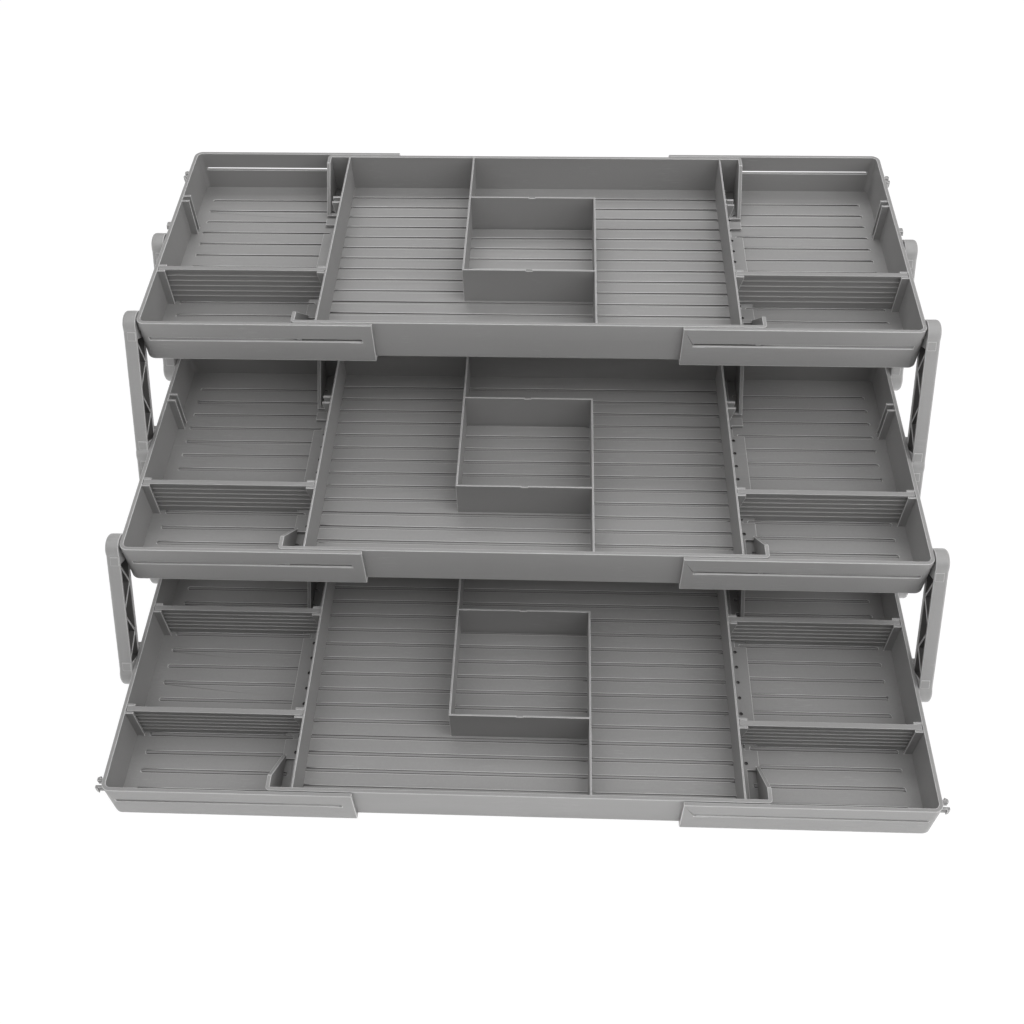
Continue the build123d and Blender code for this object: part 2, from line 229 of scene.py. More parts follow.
class EffectBook:
    """Builds each shared effect once and hands out its node group."""

    def __init__(self) -> None:
        """Builds all the effects."""
        makers: dict[SharedEffect, Callable[[], bpy.types.NodeTree]] = {
            SharedEffect.GRAIN: self.moulded_grain,
            SharedEffect.FLOW: self.flow_tone,
            SharedEffect.SCUFF: self.handling_scuffs,
            SharedEffect.DUST: self.settled_dust,
        }
        self.groups = {effect: maker() for effect, maker in makers.items()}

    @staticmethod
    def blank(effect: SharedEffect, inputs: dict[str, float],
              output: str) -> tuple[NodeSheet, Sockets, bpy.types.NodeSocket]:
        """Starts a node group.

        Args:
            effect: Which effect it is.
            inputs: The names of its number inputs, with what they start at.
            output: The name of its one output.

        Returns:
            Its sheet, its input sockets by name and the socket of its output.
        """
        tree = bpy.data.node_groups.new(effect.value, "ShaderNodeTree")
        tree.interface.new_socket("Vector", in_out="INPUT", socket_type="NodeSocketVector")
        for name, start in inputs.items():
            socket = tree.interface.new_socket(name, in_out="INPUT", socket_type="NodeSocketFloat")
            socket.default_value = start
        tree.interface.new_socket(output, in_out="OUTPUT", socket_type="NodeSocketFloat")
        sheet = NodeSheet(tree)
        entry = sheet.add("NodeGroupInput")
        leave = sheet.add("NodeGroupOutput")
        return sheet, {socket.name: socket for socket in entry.outputs}, leave.inputs[0]

    def moulded_grain(self) -> bpy.types.NodeTree:
        """Makes the fine spark-eroded grain of a mould.

        Returns:
            A group that puts out a height from 0 to 1.
        """
        sheet, entry, leave = self.blank(SharedEffect.GRAIN, {"Size": 1.0}, "Height")
        pits = sheet.add("TexNoise", scale=1500.0, detail=1.0, roughness=0.6)
        cells = sheet.add("TexVoronoi", scale=1900.0)
        for texture in (pits, cells):
            sheet.join(entry["Vector"], texture.inputs["Vector"])
            scale = texture.inputs["Scale"]
            sheet.join(sheet.maths("DIVIDE", scale.default_value, entry["Size"]), scale)
        soft = sheet.spread(pits.outputs["Fac"], low=0.3, high=0.7, to_high=0.7)
        sharp = sheet.spread(cells.outputs["Distance"], low=0.1, high=0.7, to_high=0.3)
        sheet.join(sheet.maths("ADD", soft, sharp), leave)
        return sheet.tree

    def flow_tone(self) -> bpy.types.NodeTree:
        """Makes the faint light and dark where the melt ran.

        Returns:
            A group that puts out a tone from 0 to 1.
        """
        sheet, entry, leave = self.blank(SharedEffect.FLOW, {"Streak": 0.5}, "Tone")
        stretch = sheet.add("Mapping", scale=(4.0, 60.0, 16.0))
        sheet.join(entry["Vector"], stretch.inputs["Vector"])
        streaks = sheet.add("TexNoise", scale=1.0, detail=2.0, roughness=0.55)
        clouds = sheet.add("TexNoise", scale=9.0, detail=1.0, roughness=0.5)
        sheet.join(stretch.outputs["Vector"], streaks.inputs["Vector"])
        sheet.join(entry["Vector"], clouds.inputs["Vector"])
        blend = sheet.add("Mix", data_type="FLOAT")
        sheet.join(entry["Streak"], blend.inputs["Factor"])
        sheet.join(clouds.outputs["Fac"], blend.inputs["A"])
        sheet.join(streaks.outputs["Fac"], blend.inputs["B"])
        sheet.join(sheet.spread(blend.outputs["Result"], low=0.3, high=0.7), leave)
        return sheet.tree

    def handling_scuffs(self) -> bpy.types.NodeTree:
        """Makes short hair-fine rubs in patches.

        Returns:
            A group that puts out a mask from 0 to 1.
        """
        sheet, entry, leave = self.blank(SharedEffect.SCUFF, {"Amount": 0.3}, "Mask")
        turn = sheet.add("Mapping", rotation=(0.35, 0.2, 0.6), scale=(90.0, 1400.0, 1400.0))
        sheet.join(entry["Vector"], turn.inputs["Vector"])
        lines = sheet.add("TexNoise", scale=1.0, detail=1.0, roughness=0.5)
        sheet.join(turn.outputs["Vector"], lines.inputs["Vector"])
        patches = sheet.add("TexNoise", scale=26.0, detail=1.0, roughness=0.6)
        sheet.join(entry["Vector"], patches.inputs["Vector"])
        where = sheet.spread(patches.outputs["Fac"], low=0.52, high=0.66)
        hair = sheet.spread(lines.outputs["Fac"], low=0.6, high=0.68)
        mask = sheet.maths("MULTIPLY", where, hair)
        sheet.join(sheet.maths("MULTIPLY", mask, entry["Amount"]), leave)
        return sheet.tree

    def settled_dust(self) -> bpy.types.NodeTree:
        """Makes a thin bloom of dust on what faces up.

        Returns:
            A group that puts out a mask from 0 to 1.
        """
        sheet, entry, leave = self.blank(SharedEffect.DUST, {"Amount": 0.2}, "Mask")
        facing = sheet.add("NewGeometry")
        split = sheet.add("SeparateXYZ")
        sheet.join(facing.outputs["True Normal"], split.inputs[0])
        upwards = sheet.spread(split.outputs["Z"], low=0.4, high=1.0)
        specks = sheet.add("TexNoise", scale=420.0, detail=2.0, roughness=0.7)
        sheet.join(entry["Vector"], specks.inputs["Vector"])
        film = sheet.spread(specks.outputs["Fac"], low=0.42, high=0.75, to_low=0.15)
        mask = sheet.maths("MULTIPLY", upwards, film)
        sheet.join(sheet.maths("MULTIPLY", mask, entry["Amount"]), leave)
        return sheet.tree

    def place(self, sheet: NodeSheet, effect: SharedEffect, vector: bpy.types.NodeSocket,
              **values: float) -> bpy.types.NodeSocket:
        """Puts an effect into a material.

        Args:
            sheet: The material's sheet.
            effect: Which effect.
            vector: Where on the piece it is read.
            **values: Its inputs, under their names in lower case.

        Returns:
            Its output.
        """
        node = sheet.add("Group")
        node.node_tree = self.groups[effect]
        sheet.join(vector, node.inputs["Vector"])
        for name, value in values.items():
            node.inputs[name.capitalize()].default_value = value
        return node.outputs[0]


@dataclass(frozen=True)
class MouldedPlastic:
    """A matt injection-moulded plastic.

    Its tones are shares of its colour, which is a grey, and its scuffs and dust are amounts from
    0 to 1.
    """

    name: str
    slot: str
    colour: float
    roughness: float
    grain_size: float
    grain_depth: float
    streak: float
    tone_spread: float
    scuffs: float
    dust: float
    warmth: float = 0.004
    pit_tone: float = 0.86
    pit_share: float = 0.35
    rubbed_tone: float = 1.45
    dusty_tone: float = 1.3
    specular: float = 0.42
    grain_sheen: float = 0.06
    rubbed_polish: float = 0.12
    dust_dullness: float = 0.3
    rubbed_levelling: float = 0.5
    bump_strength: float = 0.6

    def shade(self, level: float) -> tuple[float, float, float, float]:
        """A near-neutral grey of that level."""
        return (level + self.warmth, level, level - self.warmth / 2, 1.0)

    def build(self, effects: EffectBook) -> bpy.types.Material:
        """Makes the material.

        Args:
            effects: The shared node groups.

        Returns:
            The finished material.
        """
        material = bpy.data.materials.new(self.name)
        material.use_nodes = True
        sheet = NodeSheet(material.node_tree)
        where = sheet.add("TexCoord").outputs["Object"]
        grain = effects.place(sheet, SharedEffect.GRAIN, where, size=self.grain_size)
        tone = effects.place(sheet, SharedEffect.FLOW, where, streak=self.streak)
        scuffs = effects.place(sheet, SharedEffect.SCUFF, where, amount=self.scuffs)
        dust = effects.place(sheet, SharedEffect.DUST, where, amount=self.dust)

        darker = self.shade(self.colour * (1 - self.tone_spread))
        lighter = self.shade(self.colour * (1 + self.tone_spread))
        body = sheet.mix_colours(tone, darker, lighter)
        pits = sheet.spread(grain, low=0.15, high=0.45, to_low=self.pit_share, to_high=0.0)
        pitted = sheet.mix_colours(pits, body, self.shade(self.colour * self.pit_tone))
        rubbed = sheet.mix_colours(scuffs, pitted, self.shade(self.colour * self.rubbed_tone))
        dusty = sheet.mix_colours(dust, rubbed, self.shade(self.colour * self.dusty_tone))

        rough = sheet.spread(grain, low=0.0, high=1.0, to_low=self.roughness + self.grain_sheen,
                             to_high=self.roughness - self.grain_sheen)
        polish = sheet.maths("MULTIPLY", scuffs, self.rubbed_polish)
        dulling = sheet.maths("MULTIPLY", dust, self.dust_dullness)
        worn = sheet.maths("ADD", sheet.maths("SUBTRACT", rough, polish), dulling)
        height = sheet.maths("SUBTRACT", grain,
                             sheet.maths("MULTIPLY", scuffs, self.rubbed_levelling))
        bump = sheet.add("Bump", strength=self.bump_strength, distance=self.grain_depth)
        sheet.join(height, bump.inputs["Height"])

        shader = sheet.add("BsdfPrincipled", specular_ior_level=self.specular)
        sheet.join(dusty, shader.inputs["Base Color"])
        sheet.join(worn, shader.inputs["Roughness"])
        sheet.join(bump.outputs["Normal"], shader.inputs["Normal"])
        sheet.finish("OutputMaterial", shader.outputs[0])
        return material


TRAY_PLASTIC = MouldedPlastic(
    name="tray_plastic", slot="tray_plastic", colour=0.345, roughness=0.5, grain_size=1.0,
    grain_depth=0.06 * MM, streak=0.55, tone_spread=0.035, scuffs=0.25, dust=0.16)
# Lighter than the arms' own grey: the extra lightness is painted light, for the light their front
# faces catch.
ARM_PLASTIC = MouldedPlastic(
    name="arm_plastic", slot="arm_plastic", colour=0.42, roughness=0.4, grain_size=1.1,
    grain_depth=0.06 * MM, streak=0.3, tone_spread=0.03, scuffs=0.3, dust=0.1)
DIVIDER_PLASTIC = MouldedPlastic(
    name="divider_plastic", slot="divider_plastic", colour=0.33, roughness=0.46, grain_size=0.9,
    grain_depth=0.05 * MM, streak=0.45, tone_spread=0.03, scuffs=0.25, dust=0.12)
# A lighter copy of the tray plastic: a painted highlight on the rounded edges, not wear.
EDGE_HIGHLIGHT_PLASTIC = MouldedPlastic(
    name="rubbed_edge_plastic", slot="tray_plastic", colour=0.64, roughness=0.36, grain_size=1.0,
    grain_depth=0.03 * MM, streak=0.3, tone_spread=0.03, scuffs=0.3, dust=0.05)
# A near-black copy of the tray plastic: painted shade in the grooves, pits and the arms' channels,
# not grime.
RECESS_SHADE_PLASTIC = MouldedPlastic(
    name="grimy_recess_plastic", slot="tray_plastic", colour=0.14, roughness=0.7, grain_size=1.0,
    grain_depth=0.05 * MM, streak=0.3, tone_spread=0.06, scuffs=0.05, dust=0.05)
FINISHES = (TRAY_PLASTIC, ARM_PLASTIC, DIVIDER_PLASTIC, EDGE_HIGHLIGHT_PLASTIC, RECESS_SHADE_PLASTIC)


class MeshBench:
    """Selects objects and parts of meshes, and turns what is selected into modelling steps."""

    @staticmethod
    def clear() -> None:
        """Leaves nothing selected and nothing active."""
        for obj in list(bpy.context.selected_objects):
            obj.select_set(False)
        bpy.context.view_layer.objects.active = None

    @classmethod
    def take(cls, obj: bpy.types.Object) -> None:
        """Makes one object the only selected and active one.

        Args:
            obj: The object.
        """
        cls.clear()
        obj.select_set(True)
        bpy.context.view_layer.objects.active = obj

    @classmethod
    def start_picking(cls, obj: bpy.types.Object, kind: str) -> None:
        """Takes an object and leaves nothing selected in its mesh.

        Args:
            obj: The object, in object mode.
            kind: What is picked next: EDGE or FACE.
        """
        cls.take(obj)
        bpy.ops.object.mode_set(mode="EDIT")
        bpy.ops.mesh.select_mode(type=kind)
        bpy.ops.mesh.select_all(action="DESELECT")
        bpy.ops.object.mode_set(mode="OBJECT")

    @staticmethod
    def sharp_edges(mesh: bpy.types.Mesh, angle: float) -> tuple[list[int], list[int]]:
        """Finds the edges at which a surface turns.

        Args:
            mesh: The mesh.
            angle: The least turn, in radians.

        Returns:
            The numbers of the edges that stand out, and of those that lie in a corner.
        """
        meeting: dict[tuple[int, int], list[tuple[Vector, Vector]]] = {}
        for polygon in mesh.polygons:
            corners = list(polygon.vertices)
            for start, end in zip(corners, corners[1:] + corners[:1]):
                run = mesh.vertices[end].co - mesh.vertices[start].co
                sides = meeting.setdefault((min(start, end), max(start, end)), [])
                sides.append((polygon.normal, polygon.normal.cross(run)))
        outer, inner = [], []
        for edge in mesh.edges:
            faces = meeting.get((min(edge.vertices), max(edge.vertices)), [])
            if len(faces) != 2 or not faces[0][0].length or not faces[1][0].length:
                continue
            (normal, inwards), (other, _) = faces
            if normal.angle(other) > angle:
                (outer if other.dot(inwards) < 0 else inner).append(edge.index)
        return outer, inner

    @classmethod
    def cut_level(cls, obj: bpy.types.Object, level: float, line: float, slack: float) -> None:
        """Splits the level faces that a line across the piece runs through.

        Args:
            obj: The object, in object mode.
            level: The height of the faces.
            line: The y of the line.
            slack: How far a height may be off.
        """
        cls.start_picking(obj, "FACE")
        mesh = obj.data
        for polygon in mesh.polygons:
            if polygon.normal.z > LOOKS_UP and abs(polygon.center.z - level) < slack:
                places = [mesh.vertices[index].co.y for index in polygon.vertices]
                polygon.select = min(places) < line < max(places)
        bpy.ops.object.mode_set(mode="EDIT")
        bpy.ops.mesh.bisect(plane_co=(0.0, line, 0.0), plane_no=(0.0, 1.0, 0.0))
        bpy.ops.object.mode_set(mode="OBJECT")

    @classmethod
    def bevel_picked(cls, obj: bpy.types.Object, chosen: list[int], radius: float, steps: int,
                     finish: FaceFinish = FaceFinish.AS_BESIDE) -> None:
        """Rounds the chosen edges in edit mode.

        Args:
            obj: The object, in object mode.
            chosen: The numbers of its edges.
            radius: How far the rounding reaches.
            steps: Its segments.
            finish: The finish of the rounding.
        """
        cls.start_picking(obj, "EDGE")
        for index in chosen:
            obj.data.edges[index].select = True
        bpy.ops.object.mode_set(mode="EDIT")
        bpy.ops.mesh.bevel(offset=radius, segments=steps, affect="EDGES",
                           material=finish.value, loop_slide=False)
        bpy.ops.object.mode_set(mode="OBJECT")


@dataclass
class Moulding:
    """A moulded piece: the CAD node's shape with its sharp edges rounded, and the roundings given
    a painted highlight.

    Slack is how far a place may be off and still count as the one that is looked for.
    """

    node: str
    name: str
    finish: MouldedPlastic
    edge_radius: float = 0.45 * MM
    edge_steps: int = 2
    sharper_than: float = math.radians(32)
    smooth_below: float = math.radians(12)
    merge_distance: float = 0.002 * MM
    slack: float = 0.02 * MM

    def build(self, materials: dict[str, bpy.types.Material]) -> bpy.types.Object:
        """Models the piece and puts it in the node's place.

        Args:
            materials: The finished materials by name.

        Returns:
            The new object, riding on the node's body.
        """
        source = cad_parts[self.node]
        obj = bpy.data.objects.new(self.name, source.data.copy())
        bpy.context.scene.collection.objects.link(obj)
        obj.data.materials.clear()
        for finish in (self.finish, EDGE_HIGHLIGHT_PLASTIC, RECESS_SHADE_PLASTIC):
            obj.data.materials.append(materials[finish.name])
        self.merge(obj)
        self.carve(obj)
        self.round_edges(obj)
        self.drill(obj)
        self.keep_within(obj)
        bpy.ops.object.shade_smooth_by_angle(angle=self.smooth_below)
        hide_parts(self.node)
        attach(obj, self.node)
        return obj

    def merge(self, obj: bpy.types.Object) -> None:
        """Joins the loose triangles of the CAD node's mesh.

        Args:
            obj: The piece.
        """
        MeshBench.take(obj)
        bpy.ops.object.mode_set(mode="EDIT")
        bpy.ops.mesh.select_mode(type="VERT")
        bpy.ops.mesh.select_all(action="SELECT")
        bpy.ops.mesh.remove_doubles(threshold=self.merge_distance)
        bpy.ops.mesh.dissolve_degenerate(threshold=self.merge_distance)
        bpy.ops.mesh.customdata_custom_splitnormals_clear()
        bpy.ops.object.mode_set(mode="OBJECT")

    def carve(self, obj: bpy.types.Object) -> None:
        """Cuts or rounds what only this kind of piece has."""

    def round_edges(self, obj: bpy.types.Object) -> None:
        """Gives every edge that stands out the small radius of a moulding, painted as a highlight.
        """
        outer, _ = MeshBench.sharp_edges(obj.data, self.sharper_than)
        MeshBench.bevel_picked(obj, outer, self.edge_radius, self.edge_steps, FaceFinish.EDGE)

    def drill(self, obj: bpy.types.Object) -> None:
        """Makes the holes whose rims stay sharp."""

    def keep_within(self, obj: bpy.types.Object) -> None:
        """Moves back what a rounding pushed past the CAD node's box.

        Args:
            obj: The piece.
        """
        low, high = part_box(self.node)
        for vertex in obj.data.vertices:
            vertex.co = [min(max(value, least), most)
                         for value, least, most in zip(vertex.co, low, high)]


@dataclass
class GroovedShell(Moulding):
    """A piece of a tray, with grooves across its floor whose steep sides and front strips are
    painted with shade.
    """

    floor_top: float = 2.2 * MM
    groove_depth: float = 1.0 * MM
    shaded_strip_width: float = 1.2 * MM

    def carve(self, obj: bpy.types.Object) -> None:
        """Paints shade into parts of the grooves."""
        self.shade_groove_fronts(obj)
        self.shade_groove_sides(obj)

    def floor_level(self) -> float:
        """The height of the floor between the grooves."""
        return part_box(self.node)[0].z + self.floor_top

    def groove_floors(self, mesh: bpy.types.Mesh) -> list[bpy.types.MeshPolygon]:
        """Finds the faces at the bottom of the grooves.

        Args:
            mesh: The piece's mesh.

        Returns:
            Those faces.
        """
        sunk = self.floor_level() - self.groove_depth
        return [polygon for polygon in mesh.polygons
                if polygon.normal.z > LOOKS_UP and abs(polygon.center.z - sunk) < self.slack]

    def groove_fronts(self, mesh: bpy.types.Mesh) -> list[float]:
        """Finds where each groove begins.

        Args:
            mesh: The piece's mesh.

        Returns:
            The y of the front wall of each groove.
        """
        spans = []
        for polygon in self.groove_floors(mesh):
            places = [mesh.vertices[index].co.y for index in polygon.vertices]
            spans.append((min(places), max(places)))
        fronts, reached = [], -math.inf
        for start, end in sorted(spans):
            if start > reached + self.slack:
                fronts.append(start)
            reached = max(reached, end)
        return fronts

    def shade_groove_fronts(self, obj: bpy.types.Object) -> None:
        """Paints shade on a strip along the front of each groove's floor.

        Args:
            obj: The piece.
        """
        fronts = self.groove_fronts(obj.data)
        sunk = self.floor_level() - self.groove_depth
        for front in fronts:
            MeshBench.cut_level(obj, sunk, front + self.shaded_strip_width, self.slack)
        for polygon in self.groove_floors(obj.data):
            if any(0 < polygon.center.y - front < self.shaded_strip_width for front in fronts):
                polygon.material_index = FaceFinish.PAINTED_SHADE.value

    def shade_groove_sides(self, obj: bpy.types.Object) -> None:
        """Paints shade on the steep sides of the grooves.

        Args:
            obj: The piece.
        """
        top = self.floor_level()
        sunk = top - self.groove_depth
        for polygon in obj.data.polygons:
            upright = abs(polygon.normal.z) < STANDS_UPRIGHT
            heights = [obj.data.vertices[index].co.z for index in polygon.vertices]
            within = max(heights) < top + self.slack and min(heights) > sunk - self.slack
            if upright and within and sunk < polygon.center.z < top - self.slack:
                polygon.material_index = FaceFinish.PAINTED_SHADE.value


@dataclass
class WingShell(GroovedShell):
    """A sliding wing, with half-round groove ends and a sloped lower lip to its guide slots."""

    floor_top: float = 2.4 * MM
    groove_end_radius: float = 1.4 * MM
    groove_end_steps: int = 4
    slot_floor: float = 20.3 * MM
    slot_lip: float = 0.8 * MM

    def carve(self, obj: bpy.types.Object) -> None:
        """Shapes the floor grooves, paints shade in them and slopes the lips of the slots, giving
        the slopes a painted highlight.

        Args:
            obj: The piece.
        """
        self.round_groove_ends(obj)
        super().carve(obj)
        self.slope_lips(obj)

    def round_groove_ends(self, obj: bpy.types.Object) -> None:
        """Turns the square ends of the floor grooves into half rounds.

        Args:
            obj: The piece.
        """
        mesh = obj.data
        top = self.floor_level()
        sunk = top - self.groove_depth
        chosen = []
        for index in MeshBench.sharp_edges(mesh, self.sharper_than)[1]:
            ends = [mesh.vertices[end].co for end in mesh.edges[index].vertices]
            low, high = sorted(ends, key=lambda end: end.z)
            in_depth = abs(low.z - sunk) < self.slack and abs(high.z - top) < self.slack
            if in_depth and (low.xy - high.xy).length < self.slack:
                chosen.append(index)
        MeshBench.bevel_picked(obj, chosen, self.groove_end_radius, self.groove_end_steps)

    def slope_lips(self, obj: bpy.types.Object) -> None:
        """Bevels the lower outer edges of the guide slots and gives the bevels a painted
        highlight.

        Args:
            obj: The piece.
        """
        mesh = obj.data
        low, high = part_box(self.node)
        lip = low.z + self.slot_floor
        chosen = []
        for index in MeshBench.sharp_edges(mesh, self.sharper_than)[0]:
            ends = [mesh.vertices[end].co for end in mesh.edges[index].vertices]
            level = all(abs(end.z - lip) < self.slack for end in ends)
            if level and all(min(end.y - low.y, high.y - end.y) < self.slack for end in ends):
                chosen.append(index)
        # The bevel takes the edge plastic: a painted highlight for the light line of the lip.
        MeshBench.bevel_picked(obj, chosen, self.slot_lip, steps=1, finish=FaceFinish.EDGE)


@dataclass
class CentreShell(GroovedShell):
    """The middle of a tray, with a row of small pits, painted inside with shade, in the ledge
    outside each side wall.
    """

    pit_line: float = 170.6 * MM
    pit_radius: float = 1.4 * MM
    pit_depth: float = 1.6 * MM
    pit_sides: int = 16
    pit_count: int = 10
    outermost_pit: float = 63.0 * MM

    def pit_places(self) -> list[Vector]:
        """Works out where the pits are sunk.

        Returns:
            The middle of each pit's rim.
        """
        low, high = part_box(self.node)
        first = (low.y + high.y) / 2 - self.outermost_pit
        pitch = 2 * self.outermost_pit / (self.pit_count - 1)
        level = self.floor_level()
        return [Vector((side * self.pit_line, first + index * pitch, level))
                for side in (-1, 1) for index in range(self.pit_count)]

    def drill(self, obj: bpy.types.Object) -> None:
        """Sinks the pits and paints shade on their insides.

        Args:
            obj: The piece.
        """
        places = self.pit_places()
        self.sink_pits(obj, places)
        rim = self.floor_level() - self.slack
        reach = self.pit_radius + self.slack
        for polygon in obj.data.polygons:
            # The underside also lies lower than the rims, but it has more corners.
            small = len(polygon.vertices) <= self.pit_sides
            beside = any((polygon.center.xy - place.xy).length < reach for place in places)
            if small and beside and polygon.center.z < rim:
                polygon.material_index = FaceFinish.PAINTED_SHADE.value

    def sink_pits(self, obj: bpy.types.Object, places: list[Vector]) -> None:
        """Drills the pits into the ledges.

        Args:
            obj: The piece.
            places: The middle of each pit's rim.
        """
        MeshBench.clear()
        bpy.ops.mesh.primitive_cylinder_add(vertices=self.pit_sides, radius=self.pit_radius,
                                            depth=2 * self.pit_depth)
        first = bpy.context.active_object
        drills = []
        for place in places:
            drill = first.copy()
            drill.data = first.data.copy()
            drill.data.transform(Matrix.Translation(place))
            bpy.context.scene.collection.objects.link(drill)
            drills.append(drill)
        bpy.data.objects.remove(first)
        MeshBench.clear()
        for drill in drills:
            drill.select_set(True)
        bpy.context.view_layer.objects.active = drills[0]
        bpy.ops.object.join()
        cutter = bpy.context.active_object
        MeshBench.take(obj)
        cut = obj.modifiers.new("pits", "BOOLEAN")
        cut.operation = "DIFFERENCE"
        cut.solver = "EXACT"
        cut.object = cutter
        bpy.ops.object.modifier_apply(modifier=cut.name)
        bpy.data.objects.remove(cutter)


@dataclass
class ArmMoulding(Moulding):
    """A folding arm, softly rounded all along its outer face, with a low collar at each eye."""

    eye_count: int = 2
    face_radius: float = 2.6 * MM
    face_steps: int = 4
    eye_radius: float = 10.5 * MM
    flange_reach: float = 9.5 * MM
    flange: float = 2.2 * MM
    skin: float = 2.0 * MM
    rib_set_back: float = 1.0 * MM
    collar_start: float = 4.5 * MM
    collar_length: float = 7.0 * MM
    collar_rise: float = 0.4 * MM
    collar_root: float = 0.6 * MM

    def carve(self, obj: bpy.types.Object) -> None:
        """Paints shade in the channel, rounds the rim of the outer face and adds the collars.

        Args:
            obj: The piece.
        """
        self.darken_channel(obj)
        self.round_face(obj)
        self.add_collars(obj)

    def eyes(self) -> list[Vector]:
        """Works out where the arm's eyes are.

        Returns:
            Their middles, from the lowest up, all at x 0.
        """
        low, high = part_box(self.node)
        first = Vector((0.0, low.y + self.eye_radius, low.z + self.eye_radius))
        last = Vector((0.0, high.y - self.eye_radius, high.z - self.eye_radius))
        steps = self.eye_count - 1
        return [first + (last - first) * index / steps for index in range(self.eye_count)]

    def breadth(self) -> tuple[float, float]:
        """The distances of the arm's two faces from the organizer's middle."""
        low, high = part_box(self.node)
        return min(abs(low.x), abs(high.x)), max(abs(low.x), abs(high.x))

    def darken_channel(self, obj: bpy.types.Object) -> None:
        """Paints shade on the inside of the channel, between and beside the ribs.

        Args:
            obj: The piece.
        """
        inner, outer = self.breadth()
        eyes = self.eyes()
        along = eyes[-1] - eyes[0]
        start = self.eye_radius - self.slack
        end = along.length - start
        along.normalize()
        half_width = self.flange_reach - self.flange + self.slack
        for polygon in obj.data.polygons:
            depth = abs(polygon.center.x)
            beside = polygon.center - eyes[0]
            beside.x = 0.0
            deep = inner + self.rib_set_back + self.slack < depth < outer - self.skin + self.slack
            between = start < beside.dot(along) < end
            if deep and between and beside.cross(along).length < half_width:
                polygon.material_index = FaceFinish.PAINTED_SHADE.value

    def round_face(self, obj: bpy.types.Object) -> None:
        """Rounds the rim of the outer face.

        Args:
            obj: The piece.
        """
        mesh = obj.data
        outer = max(abs(vertex.co.x) for vertex in mesh.vertices) - self.slack
        chosen = []
        for index in MeshBench.sharp_edges(mesh, self.sharper_than)[0]:
            ends = [mesh.vertices[end].co for end in mesh.edges[index].vertices]
            if all(abs(end.x) > outer for end in ends):
                chosen.append(index)
        MeshBench.bevel_picked(obj, chosen, self.face_radius, self.face_steps)

    def add_collars(self, obj: bpy.types.Object) -> None:
        """Models the collars and joins them to the arm.

        Args:
            obj: The piece.
        """
        inner, outer = self.breadth()
        inner += self.collar_root
        outer -= self.collar_root + self.face_radius
        size = Vector((outer - inner, self.collar_length, self.collar_rise + self.collar_root))
        middle = math.copysign((inner + outer) / 2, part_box(self.node)[0].x)
        collars = [self.collar(size, turn, place + middle * SIDEWAYS)
                   for turn, place in self.collar_places()]
        MeshBench.take(obj)
        for collar in collars:
            collar.data.materials.append(obj.data.materials[FaceFinish.BODY.value])
            collar.select_set(True)
        bpy.ops.object.join()

    def collar_places(self) -> Iterator[tuple[Matrix, Vector]]:
        """Works out where the collars sit: on both flanges, where the arm leaves an eye.

        Yields:
            The directions of a collar's width, length and thickness, as rows, and its middle,
            at x 0.
        """
        eyes = self.eyes()
        start = self.collar_start + self.collar_length / 2
        reach = self.flange_reach + (self.collar_rise - self.collar_root) / 2
        for near, far in zip(eyes, eyes[1:]):
            along = (far - near).normalized()
            across = SIDEWAYS.cross(along)
            for eye, way in ((near, 1), (far, -1)):
                for flange in (1, -1):
                    place = eye + way * start * along + flange * reach * across
                    yield Matrix((SIDEWAYS, along, across)), place

    def collar(self, size: Vector, turn: Matrix, place: Vector) -> bpy.types.Object:
        """Models one collar.

        Args:
            size: Its width, length and thickness.
            turn: The directions of those three, as rows.
            place: Its middle.

        Returns:
            The new object.
        """
        MeshBench.clear()
        bpy.ops.mesh.primitive_cube_add(size=1.0)
        collar = bpy.context.active_object
        shape = turn.transposed().to_4x4() @ Matrix.Diagonal(size.to_4d())
        collar.data.transform(Matrix.Translation(place) @ shape)
        return collar


@dataclass
class TrayTier:
    """One tray: its centre, its two wings and the dividers that stand in them."""

    tier: Tier
    divider_places: tuple[str, ...] = ("front",)
    divider_edge_radius: float = 0.25 * MM

    def build(self, materials: dict[str, bpy.types.Material]) -> list[bpy.types.Object]:
        """Models the tray.

        Args:
            materials: The finished materials by name.

        Returns:
            Its pieces.
        """
        centre = f"{self.tier.value}_centre_tray"
        parts: list[Moulding] = [CentreShell(centre, f"{centre}_shell", TRAY_PLASTIC)]
        for side in Side:
            wing = f"{side.value}_{self.tier.value}_wing"
            parts.append(WingShell(wing, f"{wing}_shell", TRAY_PLASTIC))
            for place in self.divider_places:
                divider = f"{side.value}_{self.tier.value}_{place}_divider"
                parts.append(Moulding(divider, f"{divider}_plate", DIVIDER_PLASTIC,
                                      self.divider_edge_radius))
        return [part.build(materials) for part in parts]


@dataclass
class ArmSet:
    """The folding arms of one side."""

    side: Side
    kinds: tuple[ArmKind, ...] = tuple(ArmKind)

    def build(self, materials: dict[str, bpy.types.Material]) -> list[bpy.types.Object]:
        """Models the arms.

        Args:
            materials: The finished materials by name.

        Returns:
            Its pieces.
        """
        pieces = []
        for kind in self.kinds:
            arm = f"{self.side.value}_{kind.value}"
            part = ArmMoulding(arm, f"{arm}_moulding", ARM_PLASTIC, eye_count=kind.eye_count)
            pieces.append(part.build(materials))
        return pieces


@dataclass(frozen=True)
class Softbox:
    """A flat soft lamp that points at the organizer."""

    name: str
    place: tuple[float, float, float]
    size: tuple[float, float]
    power: float
    aim: tuple[float, float, float] = (0.0, 0.0, 0.1)

    def hang(self) -> bpy.types.Object:
        """Hangs the lamp.

        Returns:
            The lamp.
        """
        lamp = bpy.data.lights.new(self.name, "AREA")
        lamp.shape = "RECTANGLE"
        lamp.size, lamp.size_y = self.size
        lamp.energy = self.power
        softbox = bpy.data.objects.new(self.name, lamp)
        softbox.location = self.place
        towards = Vector(self.aim) - Vector(self.place)
        softbox.rotation_euler = towards.to_track_quat("-Z", "Y").to_euler()
        bpy.context.scene.collection.objects.link(softbox)
        return softbox


